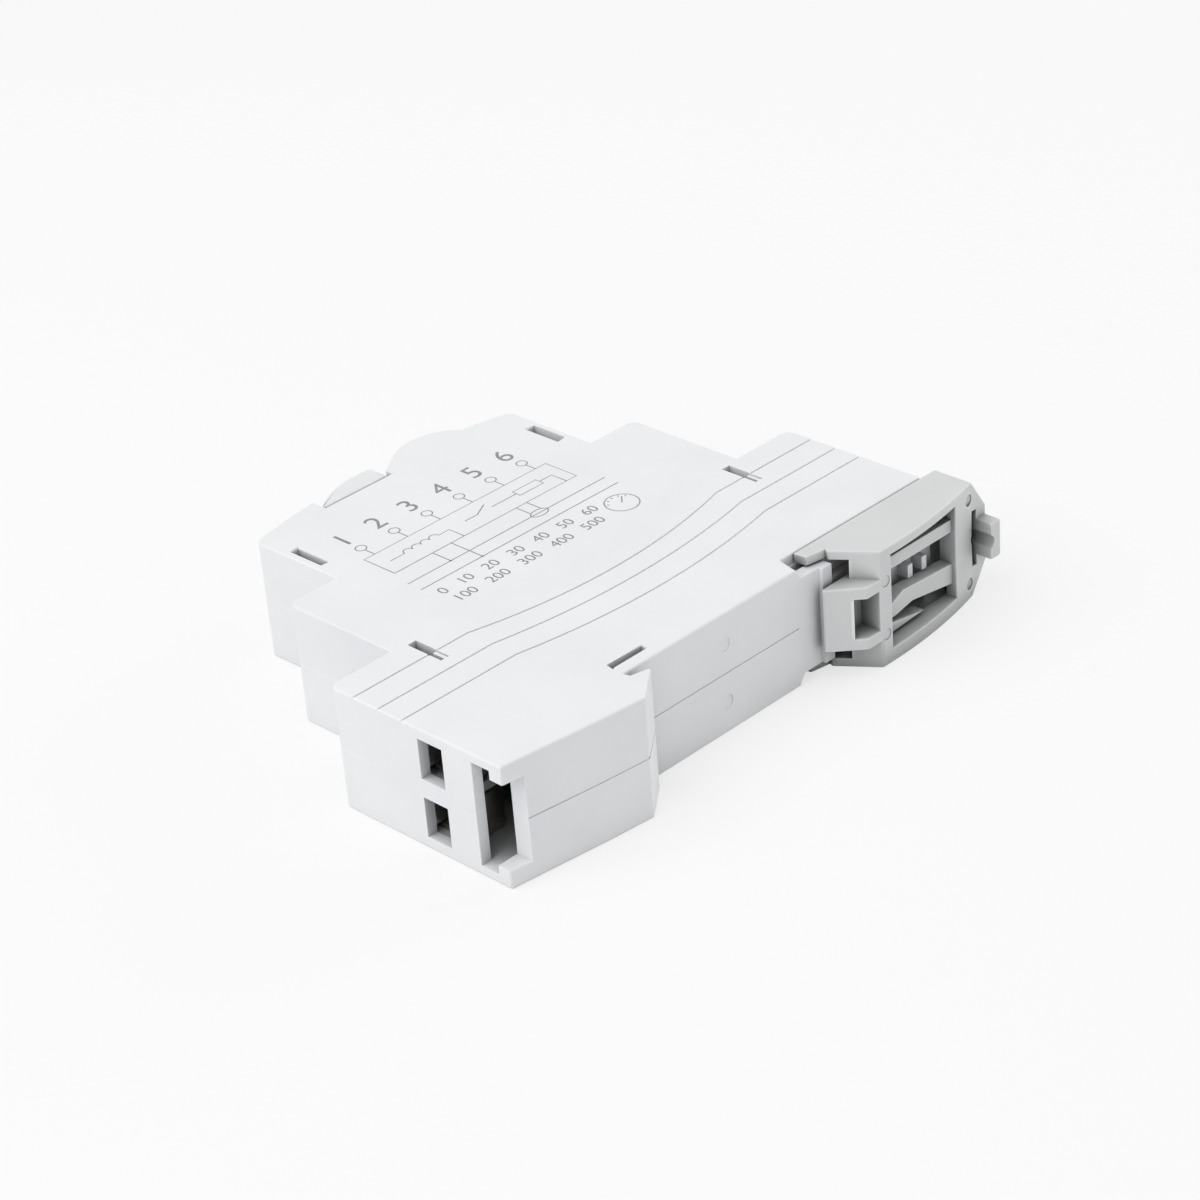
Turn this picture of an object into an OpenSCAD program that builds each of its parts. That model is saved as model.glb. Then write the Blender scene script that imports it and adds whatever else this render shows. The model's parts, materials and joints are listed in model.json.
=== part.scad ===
// One-module rail-mounted energy monitor, lying on its side.
// +X runs to the near terminal end, -Y to the nose, +Y to the rail, +Z across the module.
// The origin is on the lower side face, under the middle of the housing.

/* [Housing] */
// Width of the module across the rail unit
module_w = 18; // [17:0.5:22]
// Length over both terminal ends
length = 88.5; // [86:0.5:98]
// Depth from the nose corners to the rail seat
depth = 65; // [64:0.5:74]
// Width of the nose
nose_w = 49.3; // [47:0.1:50.2]
// Height of the nose above the first shoulder
nose_h = 16.7; // [15.5:0.1:18]
// Width over the first shoulders
shoulder_w = 66.8; // [66:0.1:70]
// Height of the first shoulder above the terminal blocks
shoulder_h = 20.3; // [19:0.1:22]
// Thickness of the outer walls
wall = 1.6; // [1.2:0.1:1.8]
// Thickness of the two side faces
side_wall = 1.4; // [1:0.1:1.5]
// Radius of the outline's outer corners
corner_r = 1.6; // [0.5:0.1:2.2]
// Width and depth of the seam line between the half shells
seam = 0.12; // [0.05:0.01:0.2]

/* [Nose] */
// Rise of the curved nose front over its corners
crest_h = 3.1; // [2:0.1:4]
// Radius of the hump on the nose
hump_r = 8.6; // [8:0.1:9.2]
// Distance of the hump's middle from the middle of the nose
hump_x = 9.5; // [9:0.1:10.5]
// Reach of the hump beyond the nose corners
hump_h = 5.2; // [4.6:0.1:6]
// Width of the recess for the push key
key_slot_w = 12.9; // [11:0.1:14]
// Distance of the recess's far wall from the middle of the nose
key_slot_x = 0.95; // [0.5:0.05:1.5]
// Front edge of the recess's far wall above the nose corners
key_lip_h = 1.3; // [0.8:0.1:1.6]

/* [Push key and lamp] */
// Gap round the push key in its recess
key_gap = 0.3; // [0.2:0.05:0.4]
// Travel of the push key
key_travel = 0.8; // [0.4:0.1:1]
// Reach of the push key beyond the nose corners
key_h = 4.5; // [3.8:0.1:5]
// Radius of the push key's crowned front
key_front_r = 16; // [14:0.5:20]
// Radius of the push key's stem
key_stem_r = 1.5; // [1:0.1:1.8]
// Radius of the light pipe
pipe_r = 1.5; // [1:0.1:1.8]
// Running clearance of round stems in their holes
running_fit = 0.06; // [0.03:0.01:0.1]

/* [Rail seat] */
// Width of the mounting rail
rail_w = 35; // [34:0.5:36]
// Thickness of the rail's flange
rail_t = 1; // [0.8:0.1:1.3]
// Distance of the rail's middle from the middle of the housing
rail_x = 1.5; // [0.5:0.1:2]
// Depth of the slot behind the fixed hook
hook_reach = 3; // [2:0.1:3.6]
// Width of the fixed hook's mouth
hook_mouth = 1.9; // [1.6:0.1:2.4]
// Height of the fixed hook's shoulder above the rail seat
hook_h = 6.2; // [5.6:0.1:7]
// Length of the fixed hook's sloping face
hook_slope = 5.6; // [4.6:0.1:6.5]
// Height of the near end's rear corner above the rail seat
end_rise = 3.3; // [2.6:0.1:4]

/* [End pocket] */
// Depth of the corner pocket from the end face
pocket_depth = 9; // [6:0.5:9.5]
// Width of the corner pocket behind the rear wall
pocket_w = 3.1; // [2:0.1:3.6]
// Distance from the pocket's front face to the rail seat
pocket_back = 2; // [1.6:0.1:2.2]
// Length of the notch that opens the pocket to the rear
pocket_notch = 3.4; // [1.5:0.1:4]

/* [Rail clip] */
// Travel of the clip from open to locked
clip_travel = 2.2; // [1.6:0.1:2.6]
// Reach of the open clip's body beyond the far end
clip_out = 2.8; // [2.4:0.1:3.4]
// Overlap of the locked clip on the rail's flange
clip_bite = 0.8; // [0.6:0.05:1.2]
// Height of the clip's rear above the rail seat
clip_rise = 5.8; // [5.4:0.1:6.6]
// Depth of the step in the housing that the clip covers
clip_step = 3.5; // [3.2:0.1:4]
// Thickness of the clip's lower wall at its window
clip_wall = 2.2; // [1.8:0.1:2.6]
// Thickness of the clip's walls beside the guide block and above its window
clip_skin = 1.4; // [1.2:0.1:1.7]
// Length of the tongue's ramp along the housing
ramp_run = 4.1; // [3.4:0.05:4.5]
// Length of the side ramps along the housing
side_run = 4; // [3.4:0.1:4.6]
// Distance that the side ramps stand behind the tongue's ramp
ramp_set = 2.9; // [2.4:0.1:3.4]
// Width of the tongue
tongue_w = 9.6; // [8.6:0.1:10.2]
// Width of the pocket in the tongue
tongue_pocket_w = 6; // [4:0.1:6.6]
// Width of the pull loop's slot
loop_slot = 1; // [0.8:0.1:1.4]
// Thickness of the pull loop's grip
loop_t = 2.1; // [1.6:0.1:2.4]
// Drop of the clip's curved rear at its far end
clip_drop = 2.6; // [1.5:0.1:3]
// Gap between the clip and the housing
clip_gap = 0.2; // [0.15:0.05:0.3]

/* [Terminals] */
// Height of a wire entry
wire_h = 4.3; // [4.2:0.1:4.6]
// Width of a wire entry
wire_w = 5.9; // [4.8:0.1:6.2]
// Distance of a wire entry's middle from the nearer side face
wire_z = 4.65; // [4.4:0.05:4.8]
// Distance of a block's wire entries from the rail seat
wire_back = 9.5; // [9.2:0.1:10.5]
// Distance of the shoulder's wire entries from its front face
wire_depth_shoulder = 14.3; // [13.6:0.1:15]
// Distance of a screw's axis from the end face
screw_x = 5.5; // [5.2:0.1:6]
// Radius of a screw's shank
screw_r = 1.45; // [1.2:0.05:1.6]
// Radius of a screw's head
head_r = 2.3; // [2:0.05:2.4]
// Travel of a clamp cage
cage_travel = 4.4; // [3:0.1:4.4]
// Thickness of a terminal bar
bar_t = 1.2; // [0.8:0.1:1.4]

/* [Electronics] */
// Thickness of the circuit board
board_t = 1.6; // [1:0.1:1.8]
// Distance of the board's underside from the lower side face
board_z = 3; // [2.6:0.1:3.2]
// Radius of the input capacitor
big_cap_r = 4; // [3:0.1:4.4]
// Height of the input capacitor
big_cap_h = 10.5; // [8:0.1:11]
// Radius of the varistor disc
varistor_r = 4.2; // [3.5:0.1:4.6]

/* [Hidden] */
$fn = 48;
// Overshoot of a cut past the face that it opens
past = 1;

// Main levels of the housing
end_x = length / 2;
nose_x = nose_w / 2;
shoulder_x = shoulder_w / 2;
mid_z = module_w / 2;
seat_y = depth / 2;
nose_y = -depth / 2;
shoulder_y = nose_y + nose_h;
block_y = shoulder_y + shoulder_h;
step_y = seat_y - clip_step;

// Nose front: one shallow arc, the recess for the key and the hump
least_r = 0.2;
crest_r = (nose_x * nose_x + crest_h * crest_h) / (2 * crest_h);
crest_c = [0, nose_y - crest_h + crest_r];
hump_c = [-hump_x, nose_y - hump_h + hump_r];
key_x0 = -key_slot_x;
key_x1 = key_slot_w - key_slot_x;
key_sink = 0.3;
key_floor_y = nose_y + key_sink;
key_lip_y = nose_y - key_lip_h;

// Rear of the near block and the fixed hook
rail_gap = 0.05;
slot_lip = 0.8;
kink_run = 7.6;
kink_drop = 0.85;
slot_x = rail_x + rail_w / 2 + rail_gap;
tip_y = seat_y + hook_mouth;
hook_tip_x = slot_x - hook_reach;
hook_x = hook_tip_x + hook_slope;
kink_x = hook_x + kink_run;
kink_y = seat_y + hook_h - kink_drop;

// Corner pocket and room behind the near end's rear face
pocket_y = seat_y - pocket_back;
seam_fade = 4;
seam_end_y = pocket_y - seam_fade;
pocket_lip = 1.3;
pocket_lip_gap = 0.4;
pocket_strip = 1.7;
pocket_sight = 5.8;
rear_room_in = 0.4;
rear_room_y = seat_y + end_rise - rear_room_in;

// Snap slots: middle of each and its length, the rear one lying along X
snap_w = 1.5;
snap_l = 6.4;
snap_gap = 0.3;
snap_inset = 1.75;
snap_down = 9.3;
block_snap_in = [3.1, 3.9];
rear_snap_in = [3.25, 2.5];
nose_snap = [nose_x - snap_inset, nose_y + snap_down];
block_snap = [shoulder_x - block_snap_in[0], block_y + block_snap_in[1]];
rear_snap = [slot_x - rear_snap_in[0], seat_y - rear_snap_in[1]];
rear_snap_w = 1.2;
post_drop = 2.4;
post_top = module_w - post_drop;
ledge_l = 1.2;
ledge_d = 1;
ledge_z = module_w - ledge_d;
barb_l = 2.4;
barb_gap = 0.1;
barb_sink = 0.25;
barb_top = module_w - barb_sink;

// Engraved lines on the upper side face: distance from the block's front face and bow
LINES = [[4.77, 3.3], [9.37, 2.5], [13.77, 2.6]];
line_w = 0.35;
line_d = 0.16;
line_bend_in = 0.6;
line_bend_x = nose_x - line_bend_in;

// Clip, drawn in its open place
tongue_x = rail_x - rail_w / 2 + clip_bite - clip_travel;
clip_rear_y = seat_y + clip_rise;
flange_gap = 0.2;
lip_y = seat_y + rail_t + flange_gap;
tongue_top_x = tongue_x - ramp_run;
side_top_x = tongue_top_x - ramp_set;
side_foot_x = side_top_x + side_run;
clip_front_y = step_y + clip_gap;
clip_end_x = -end_x - clip_out;
clip_bulge = loop_slot + loop_t;
clip_far_x = clip_end_x - clip_bulge;
channel_h = 1;
channel_y = lip_y + channel_h;
cross_wall = 2.2;
far_strip = 4.8;
far_wall = 1.8;
window_x1 = side_top_x - cross_wall;
window_x0 = clip_end_x + far_strip;
clip_far_wall_x = clip_end_x + far_wall;
arc_run = window_x1 - clip_end_x;
rear_arc_r = (arc_run * arc_run + clip_drop * clip_drop) / (2 * clip_drop);
loop_z = 4.7;
grip_z = 2.85;
finger_in = 0.2;
finger_drop = 1.2;
finger_slope = 0.6;
finger_back = 0.2;
tongue_lip = 0.5;
tongue_floor = 1.2;
pocket_wall_x = 1.2;
pocket_wall_far = 0.4;
thumb_r = 1.1;
loop_floor = 1;
loop_floor_y = clip_front_y + loop_floor;
thumb_in = 0.3;
clip_mark_r = 0.9;
clip_mark_d = 0.12;
clip_mark_in = 0.9;
clip_mark_z = [6.6, 4.1];

// Clip's spring bars and wedge in its window: heights from the middle plane, along the window
spring_t = 2.1;
spring_upper = [3.4, 5.4];
spring_lower_top = [[-1, -1.9], [2.6, -1.9], [5, -0.9]];
spring_lower_foot = [[7, -3.5], [3.4, -4.2], [-1, -4.2]];
spring_lower_far = [-1.6, -4.9];
wedge_form = [[-1, -4.2], [9.4, -6], [-1, -6.6]];

// Guide block of the housing inside the clip
guide_gap = 0.3;
guide_z = clip_skin + guide_gap;
guide_short = 2.5;
guide_end_x = -end_x + guide_short;
groove_d = 0.9;
rib_up = 0.6;
rib_t = 0.7;
rib_d = 0.85;
rib_y = step_y + rib_up;
guide_lip = 0.7;
guide_skin = 1.2;
guide_lip_y = rib_y + rib_t + guide_gap + guide_lip;
tongue_z = mid_z - tongue_w / 2;
stop_back = 2.5;
stop_w = 1.9;
stop_h = 0.6;
stop_x = rail_x - rail_w / 2 - stop_back;
tooth_w = 1;
tooth_h = 1.9;
tooth_run = [8, 11];
notch_gap = 1.2;
notch_slope = 0.75;
web_l = 0.9;
web_z = 0.6;
notch_x = tongue_x + clip_travel + notch_gap;
notch_foot_x = notch_x - notch_slope;

// Terminal stations: sign of the end, level, 0 for the lower half and 1 for the upper
STATIONS = [[1, 0, 0], [1, 0, 1], [-1, 0, 0], [-1, 0, 1], [-1, 1, 0], [-1, 1, 1]];
HALF_STATIONS = [[1, 0], [-1, 0], [-1, 1]];
block_entry_y = seat_y - wire_back;
shoulder_entry_y = shoulder_y + wire_depth_shoulder;
clamp_gap = 0.2;
cage_gap = 0.25;
cage_wall = 0.7;
cage_w = 2 * (wire_z - side_wall - cage_gap);
cage_l = 5.5;
cage_floor = 1.2;
cage_top = 1.8;
bar_w = cage_w - 2 * cage_wall - 2 * clamp_gap;
bar_y1 = -wire_h / 2 - clamp_gap;
bar_y0 = bar_y1 - bar_t;
cage_y1 = wire_h / 2 + clamp_gap + cage_floor;
cage_y0 = bar_y0 - clamp_gap - cage_top;
ring_t = 1;
ring_gap = 0.3;
ring_y1 = cage_y0 - cage_travel - ring_gap;
ring_y0 = ring_y1 - ring_t;
head_t = 2.2;
head_gap = 0.1;
head_y1 = ring_y0 - head_gap;
head_y0 = head_y1 - head_t;
screw_gap = 0.3;
tip_gap = 0.05;
tower_skin = 1;
tower_l = screw_x + head_r + screw_gap + tower_skin;
tower_roof = 0.7;
tower_top = head_r + screw_gap + tower_roof;
divider_t = 0.7;
bar_gap = 0.15;
bar_end = wall + bar_gap;
board_edge = 10.65;
bar_tail = 3.3;
bar_leg = 1.8;
bar_step = 0.8;
screw_slot_w = 0.8;
screw_slot_d = 1;

// Board levels and outline
board_top = board_z + board_t;
board_front_in = 3.5;
board_rear_in = 2.6;
board_side_in = 3.2;
board_snap_gap = 1.1;
board_front_y = nose_y + board_front_in;
board_rear_y = step_y - board_rear_in;
board_nose_x = nose_x - board_side_in;
board_mid_x = block_snap[0] - board_snap_gap;
board_end_x = end_x - board_edge;
board_far_x = -shoulder_x + board_edge;
board_gap = 0.3;
board_step_y = shoulder_y + wall + board_gap;
board_snap_y = block_snap[1] + snap_l / 2 + board_snap_gap;

// Push key, tact switch and lamp
key_mid_x = (key_x0 + key_x1) / 2;
key_stop = 0.1;
key_stem_in = 1.7;
key_back_y = key_floor_y - key_travel - key_stop;
key_inner_y = key_floor_y + wall;
key_stem_y1 = key_inner_y + key_stem_in;
key_side = 0.5;
key_crown_x = 2.75;
key_flange_w = 0.8;
key_flange_r = key_stem_r + key_flange_w;
key_flange_t = 0.7;
plunger_r = 1.6;
plunger_gap = 0.03;
plunger_out = 1.35;
plunger_y0 = key_stem_y1 + plunger_gap;
switch_y0 = plunger_y0 + plunger_out;
switch_l = 3.5;
switch_w = 6.4;
switch_top = 3.2;
switch_room = 0.3;
plunger_in = 0.9;
pipe_x = -hump_x;
pipe_proud = 0.15;
pipe_front_y = hump_c[1] - hump_r - pipe_proud;
pipe_inner_y = hump_c[1] - hump_r + wall;
pipe_flange_t = 0.8;
pipe_flange_w = 0.7;
pipe_flange_back = 0.65;
lamp_r = 1.45;
lamp_in = 1.9;
lamp_gap = 0.3;
lamp_l = 2;
lamp_base = [3.8, 3.1];
lamp_tip_y = nose_y + lamp_in;
pipe_rear_y = lamp_tip_y - lamp_gap;

// Places where the board is carried from below and held from above
rest_nose = [19, 7];
rest_near = [26.5, 3];
rest_far = [19, 1];
rest_rear = 4.5;
rest_r = 1.6;
hold_gap = 0.1;
BOARD_RESTS = [
    [rest_nose[0], nose_y + rest_nose[1]],
    [-rest_nose[0], nose_y + rest_nose[1]],
    [rest_near[0], block_y - rest_near[1]],
    [-rest_far[0], block_y - rest_far[1]],
    [0, step_y - rest_rear]
];

// Parts on the front of the board: distance along X and from the nose corners, then the size
radio_in = [2, 11.5];
radio_size = [16, 22, 0.8];
can_inset = 1.5;
can_size = [13, 14, 2.2];
meter_in = [-16, 15];
meter_size = [8, 6, 1.7];
crystal_in = [-14, 24];
crystal_size = [10.5, 4.4, 3.4];

// Parts on the rear of the board: distance along X and from the rear wall, then the size
power_back = [-14, 22.5];
power_size = [5, 4, 1.6];
bridge_back = [-4, 21.5];
bridge_size = [5, 4, 2.4];
big_cap_back = [-8, 7.6];
small_cap_back = [-17.5, 7];
small_cap_r = 2.5;
small_cap_h = 8;
film_back = [7, 9.5];
film_size = [13, 5, 10.8];
drum_back = [-21.5, 12.8];
drum_r = 2.4;
drum_h = 7.4;
flange_r = 3.4;
flange_t = 1.2;
varistor_back = [22, 15];
varistor_t = 3.5;
fuse_back = [6, 17.5];
fuse_r = 1.6;
fuse_l = 8.5;

// Colours
white_plastic = "#e9ebec";
grey_plastic = "#c2c6c8";
smoke_plastic = "#cdd3d6";
board_green = "#1f3a2c";
dark_part = "#2b2d30";
metal = "#b9bcc0";
sleeve = "#33404f";
plated_brass = "#b2b0a8";

// Points along an arc
function arc(c, r, from, to, steps) =
    [for (i = [0:steps]) let (a = from + (to - from) * i / steps) c + r * [cos(a), sin(a)]];

// Angle at which a circle of radius r is at distance x from its middle, on its front side
function front_angle(r, x) = -acos(x / r);

// Front of the outline, drawn in by t, from the near block to the far block
function outline_front(t) =
    let (
        cr = crest_r - t,
        r = max(corner_r - t, least_r),
        fillet_x = nose_x - t - r,
        fillet_y = crest_c[1] - sqrt(pow(cr - r, 2) - pow(fillet_x, 2)),
        fillet_a = atan2(fillet_y - crest_c[1], fillet_x),
        hr = hump_r - t,
        lip = [key_x0 - t, key_lip_y + t],
        to_lip = lip - hump_c,
        touch_a = atan2(to_lip[1], to_lip[0]) - acos(min(1, hr / norm(to_lip))),
        between = hump_c - crest_c,
        gap = norm(between),
        meet_a = acos((gap * gap + hr * hr - cr * cr) / (2 * gap * hr)),
        meet_turn = atan2(-between[1], -between[0]) + meet_a,
        meet = hump_c + hr * [cos(meet_turn), sin(meet_turn)],
        meet_hump_a = atan2(meet[1] - hump_c[1], meet[0] - hump_c[0]),
        meet_crest_a = atan2(meet[1] - crest_c[1], meet[0])
    )
    concat(
        arc([end_x - t - r, block_y + t + r], r, 0, -90, 6),
        [[shoulder_x - t, block_y + t]],
        arc([shoulder_x - t - r, shoulder_y + t + r], r, 0, -90, 6),
        [[nose_x - t, shoulder_y + t]],
        arc([fillet_x, fillet_y], r, 0, fillet_a, 6),
        arc(crest_c, cr, fillet_a, front_angle(cr, key_x1 + t), 8),
        [[key_x1 + t, key_floor_y + t], [key_x0 - t, key_floor_y + t], lip],
        arc(hump_c, hr, touch_a, meet_hump_a, 24),
        arc(crest_c, cr, meet_crest_a, -180 - fillet_a, 6),
        arc([-fillet_x, fillet_y], r, -180 - fillet_a, -180, 6),
        [[-nose_x + t, shoulder_y + t]],
        arc([-shoulder_x + t + r, shoulder_y + t + r], r, -90, -180, 6),
        [[-shoulder_x + t, block_y + t]],
        arc([-end_x + t + r, block_y + t + r], r, -90, -180, 6)
    );

// Rear of the outline, drawn in by t, from the far block to the near block
function outline_rear(t) = [
    [-end_x + t, step_y - t],
    [notch_foot_x - t, step_y - t],
    [notch_x, seat_y - t],
    [slot_x + t, seat_y - t],
    [slot_x + t, tip_y - slot_lip],
    [hook_tip_x + t, tip_y],
    [hook_x + t, seat_y + hook_h - t],
    [kink_x, kink_y - t],
    [end_x - t, seat_y + end_rise - t]
];

// Room inside the half shells
function cavity_rear() = [
    [-end_x + wall, step_y - wall],
    [notch_foot_x + wall, step_y - wall],
    [notch_foot_x + wall, seat_y - wall],
    [slot_x + 2 * wall, seat_y - wall],
    [slot_x + 2 * wall, rear_room_y],
    [end_x - pocket_depth - wall, rear_room_y],
    [end_x - pocket_depth - wall, pocket_y - wall],
    [end_x - wall, pocket_y - wall]
];

module box(low, high) {
    translate(low) cube(high - low);
}

// Puts a piece in a terminal station, whose local origin is the middle of the wire entry
module at_station(end, level, upper) {
    face_x = level == 0 ? end_x : shoulder_x;
    entry_y = level == 0 ? block_entry_y : shoulder_entry_y;
    translate([end * face_x, entry_y, upper == 0 ? wire_z : module_w - wire_z])
        mirror([end < 0 ? 1 : 0, 0, 0])
            children();
}

// A round bar along Y
module rod(x, z, y0, y1, r) {
    translate([x, y0, z]) rotate([-90, 0, 0]) cylinder(r = r, h = y1 - y0);
}

// Tower for a screw's head and the wall between two wire rooms
module station_walls(level) {
    front = level == 0 ? block_y - block_entry_y : shoulder_y - shoulder_entry_y;
    low_z = -wire_z + side_wall / 2;
    box([-tower_l, front + wall / 2, low_z], [-wall / 2, ring_y1, tower_top]);
    box([-tower_l, ring_y1 - past, mid_z - wire_z - divider_t],
        [-wall / 2, cage_y1 + clamp_gap, mid_z - wire_z]);
    box([-tower_l, ring_y1 - past, tower_top - past],
        [-wall / 2, ring_y1, mid_z - wire_z]);
}

// Wire entry, screw bore and shank hole
module station_cuts(level) {
    front = level == 0 ? block_y - block_entry_y : shoulder_y - shoulder_entry_y;
    box([-wall - past / 2, -wire_h / 2, -wire_w / 2], [past, wire_h / 2, wire_w / 2]);
    rod(-screw_x, 0, front - past, ring_y0, head_r + screw_gap);
    rod(-screw_x, 0, ring_y0 - past, ring_y1 + past, screw_r + screw_gap);
}

// Guide block in the clip: half of it, with its groove, the stop behind the rail, the web in the notch
// and two stop teeth
module guide_half() {
    difference() {
        union() {
            box([guide_end_x, step_y - past / 2, guide_z], [notch_x, seat_y, mid_z]);
            box([stop_x - stop_w, seat_y - past, guide_z], [stop_x, seat_y + stop_h, mid_z]);
            rear_plate(step_y - past / 2, seat_y, [
                [notch_x, guide_z + past], [notch_x, web_z],
                [notch_x - web_l, guide_z], [notch_x - web_l, guide_z + past]
            ]);
            for (run = tooth_run)
                box([window_x1 - run - tooth_w, seat_y - past, mid_z - tooth_w],
                    [window_x1 - run, seat_y + tooth_h, mid_z]);
        }
        box([guide_end_x - past, rib_y - guide_gap, guide_z - past],
            [notch_foot_x, rib_y + rib_t + guide_gap, guide_z + groove_d]);
        box([guide_end_x - past, guide_lip_y, guide_z - past], [stop_x - stop_w, seat_y + past, tongue_z]);
        box([guide_end_x + wall, step_y - 2 * past, tongue_z + guide_skin],
            [notch_foot_x - wall, seat_y - wall, mid_z + past]);
    }
}

// Corner pocket of the near end, open to the end, round the corner to the rear and into the wire room
module end_pocket() {
    rear = pocket_y + pocket_w;
    low = side_wall + pocket_lip;
    box([end_x - pocket_depth, pocket_y, side_wall], [end_x + past, rear, module_w - side_wall]);
    box([end_x - pocket_notch, rear - past / 2, low],
        [end_x + past, seat_y + hook_h, module_w - low - pocket_lip_gap]);
    box([end_x - pocket_strip - pocket_sight, pocket_y - wall - past, side_wall],
        [end_x - pocket_strip, pocket_y + past, module_w - side_wall]);
}

// Lower half of the housing without its snap posts; the upper half is its mirror image.
// The seam's groove runs round the rear and fades along both end faces.
module half_shell() {
    mark_x = rail_x - 1;
    mark_r = 1.1;
    mark_d = 0.12;
    difference() {
        union() {
            difference() {
                union() {
                    linear_extrude(mid_z - seam) polygon(concat(outline_front(0), outline_rear(0)));
                    linear_extrude(mid_z) polygon(concat(
                        outline_front(0), [[-end_x, seam_end_y]], outline_rear(seam), [[end_x, seam_end_y]]
                    ));
                }
                translate([0, 0, side_wall]) linear_extrude(module_w)
                    polygon(concat(outline_front(wall), cavity_rear()));
            }
            guide_half();
            for (s = HALF_STATIONS) at_station(s[0], s[1], 0) station_walls(s[1]);
        }
        for (s = HALF_STATIONS) at_station(s[0], s[1], 0) station_cuts(s[1]);
        end_pocket();
        rod(key_mid_x, mid_z, key_floor_y - past, key_inner_y + past, key_stem_r + running_fit);
        rod(pipe_x, mid_z, pipe_front_y - past, pipe_inner_y + past, pipe_r + running_fit);
        rod(mark_x, wire_z, seat_y - mark_d, seat_y + past, mark_r);
    }
}

// Place of each snap: the nose pair, the barbed block pair, and the rear one turned along X
module at_snaps() {
    for (s = [-1, 1]) {
        translate([s * nose_snap[0], nose_snap[1], 0]) children(0);
        translate([s * block_snap[0], block_snap[1], 0]) children(1);
    }
    translate([rear_snap[0], rear_snap[1], 0]) rotate([0, 0, 90]) children(2);
}

module snap_post(w) {
    t = w - 2 * snap_gap;
    l = snap_l - 2 * snap_gap;
    box([-t / 2, -l / 2, side_wall / 2], [t / 2, l / 2, post_top]);
}

module snap_slot(w) {
    box([-w / 2, -snap_l / 2, mid_z - past], [w / 2, snap_l / 2, module_w + past]);
}

// Barb on a block's post: its neck stands in half of the slot and its head lies on the slot's ledge
module snap_barb() {
    x0 = -snap_w / 2 + barb_gap;
    y1 = snap_l / 2 - barb_gap;
    box([x0, y1 - barb_l, post_top - past], [-barb_gap, y1 - ledge_l, barb_top]);
    box([x0, y1 - barb_l, ledge_z + barb_gap], [-barb_gap, y1, barb_top]);
}

// Slot of a block, whose inner corner keeps the ledge for the barb
module barbed_slot() {
    y1 = snap_l / 2;
    difference() {
        snap_slot(snap_w);
        box([-snap_w, y1 - ledge_l, 0], [0, y1 + past, ledge_z]);
    }
}

// Engraved line across the upper side face: straight over the blocks, bowed between them
module engraved_line(y, bow) {
    r = (line_bend_x * line_bend_x + bow * bow) / (2 * bow);
    translate([0, 0, module_w - line_d]) linear_extrude(line_d + past) {
        for (s = [0, 1]) mirror([s, 0])
            translate([line_bend_x, y - line_w / 2]) square([end_x, line_w]);
        intersection() {
            translate([0, y + bow - r]) difference() {
                circle(r + line_w / 2, $fn = 200);
                circle(r - line_w / 2, $fn = 200);
            }
            translate([-line_bend_x, y - line_w]) square([2 * line_bend_x, bow + 2 * line_w]);
        }
    }
}

module housing_lower() {
    color(white_plastic) {
        half_shell();
        at_snaps() {
            snap_post(snap_w);
            union() {
                snap_post(snap_w);
                snap_barb();
            }
            snap_post(rear_snap_w);
        }
        for (p = BOARD_RESTS)
            translate([p[0], p[1], side_wall / 2]) cylinder(r = rest_r, h = board_z - side_wall / 2);
    }
}

module housing_upper() {
    color(white_plastic) {
        difference() {
            translate([0, 0, module_w]) mirror([0, 0, 1]) half_shell();
            at_snaps() {
                snap_slot(snap_w);
                barbed_slot();
                snap_slot(rear_snap_w);
            }
            for (l = LINES) engraved_line(block_y + l[0], l[1]);
        }
        for (p = BOARD_RESTS)
            translate([p[0], p[1], board_top + hold_gap])
                cylinder(r = rest_r, h = module_w - side_wall / 2 - board_top - hold_gap);
    }
}

// Plan of the clip's side walls, with the finger that lies in the housing's notch
module clip_plan() {
    finger_x = tongue_x + finger_in;
    finger_y = seat_y - finger_drop;
    sweep = asin(arc_run / rear_arc_r);
    polygon(concat(
        [[finger_x, clip_front_y], [tongue_x, finger_y],
         [side_foot_x - finger_back, finger_y + finger_slope],
         [side_foot_x, seat_y], [side_top_x, clip_rear_y]],
        arc([window_x1, clip_rear_y - rear_arc_r], rear_arc_r, 90, 90 + sweep, 14),
        [[clip_far_x, clip_rear_y - clip_drop], [clip_far_x, clip_front_y]]
    ));
}

// Clip's outline seen from the rear: chamfered towards both side faces at the far end
module clip_end_form() {
    rotate([90, 0, 0]) translate([0, 0, -depth]) linear_extrude(2 * depth)
        polygon([[0, 0], [clip_end_x, 0], [clip_far_x, loop_z], [clip_far_x, module_w - loop_z],
                 [clip_end_x, module_w], [0, module_w]]);
}

// Points of a bar or wedge: distance from the window's near wall, height from the middle plane
function in_window(points) = [for (p = points) [window_x1 - p[0], mid_z + p[1]]];

// A plate seen from the rear, between two distances along the depth
module rear_plate(y0, y1, points) {
    translate([0, y1, 0]) rotate([90, 0, 0]) linear_extrude(y1 - y0) polygon(points);
}

// Two spring bars across the window and the wedge on its near wall
module clip_bars() {
    low = lip_y + clip_gap;
    far_x = window_x0 - past;
    box([far_x, low, mid_z + spring_upper[0]], [window_x1 + past, low + spring_t, mid_z + spring_upper[1]]);
    rear_plate(low, low + spring_t, concat(
        in_window(spring_lower_top),
        [for (z = spring_lower_far) [far_x, mid_z + z]],
        in_window(spring_lower_foot)
    ));
    rear_plate(low, (low + clip_rear_y) / 2, in_window(wedge_form));
}

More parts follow.
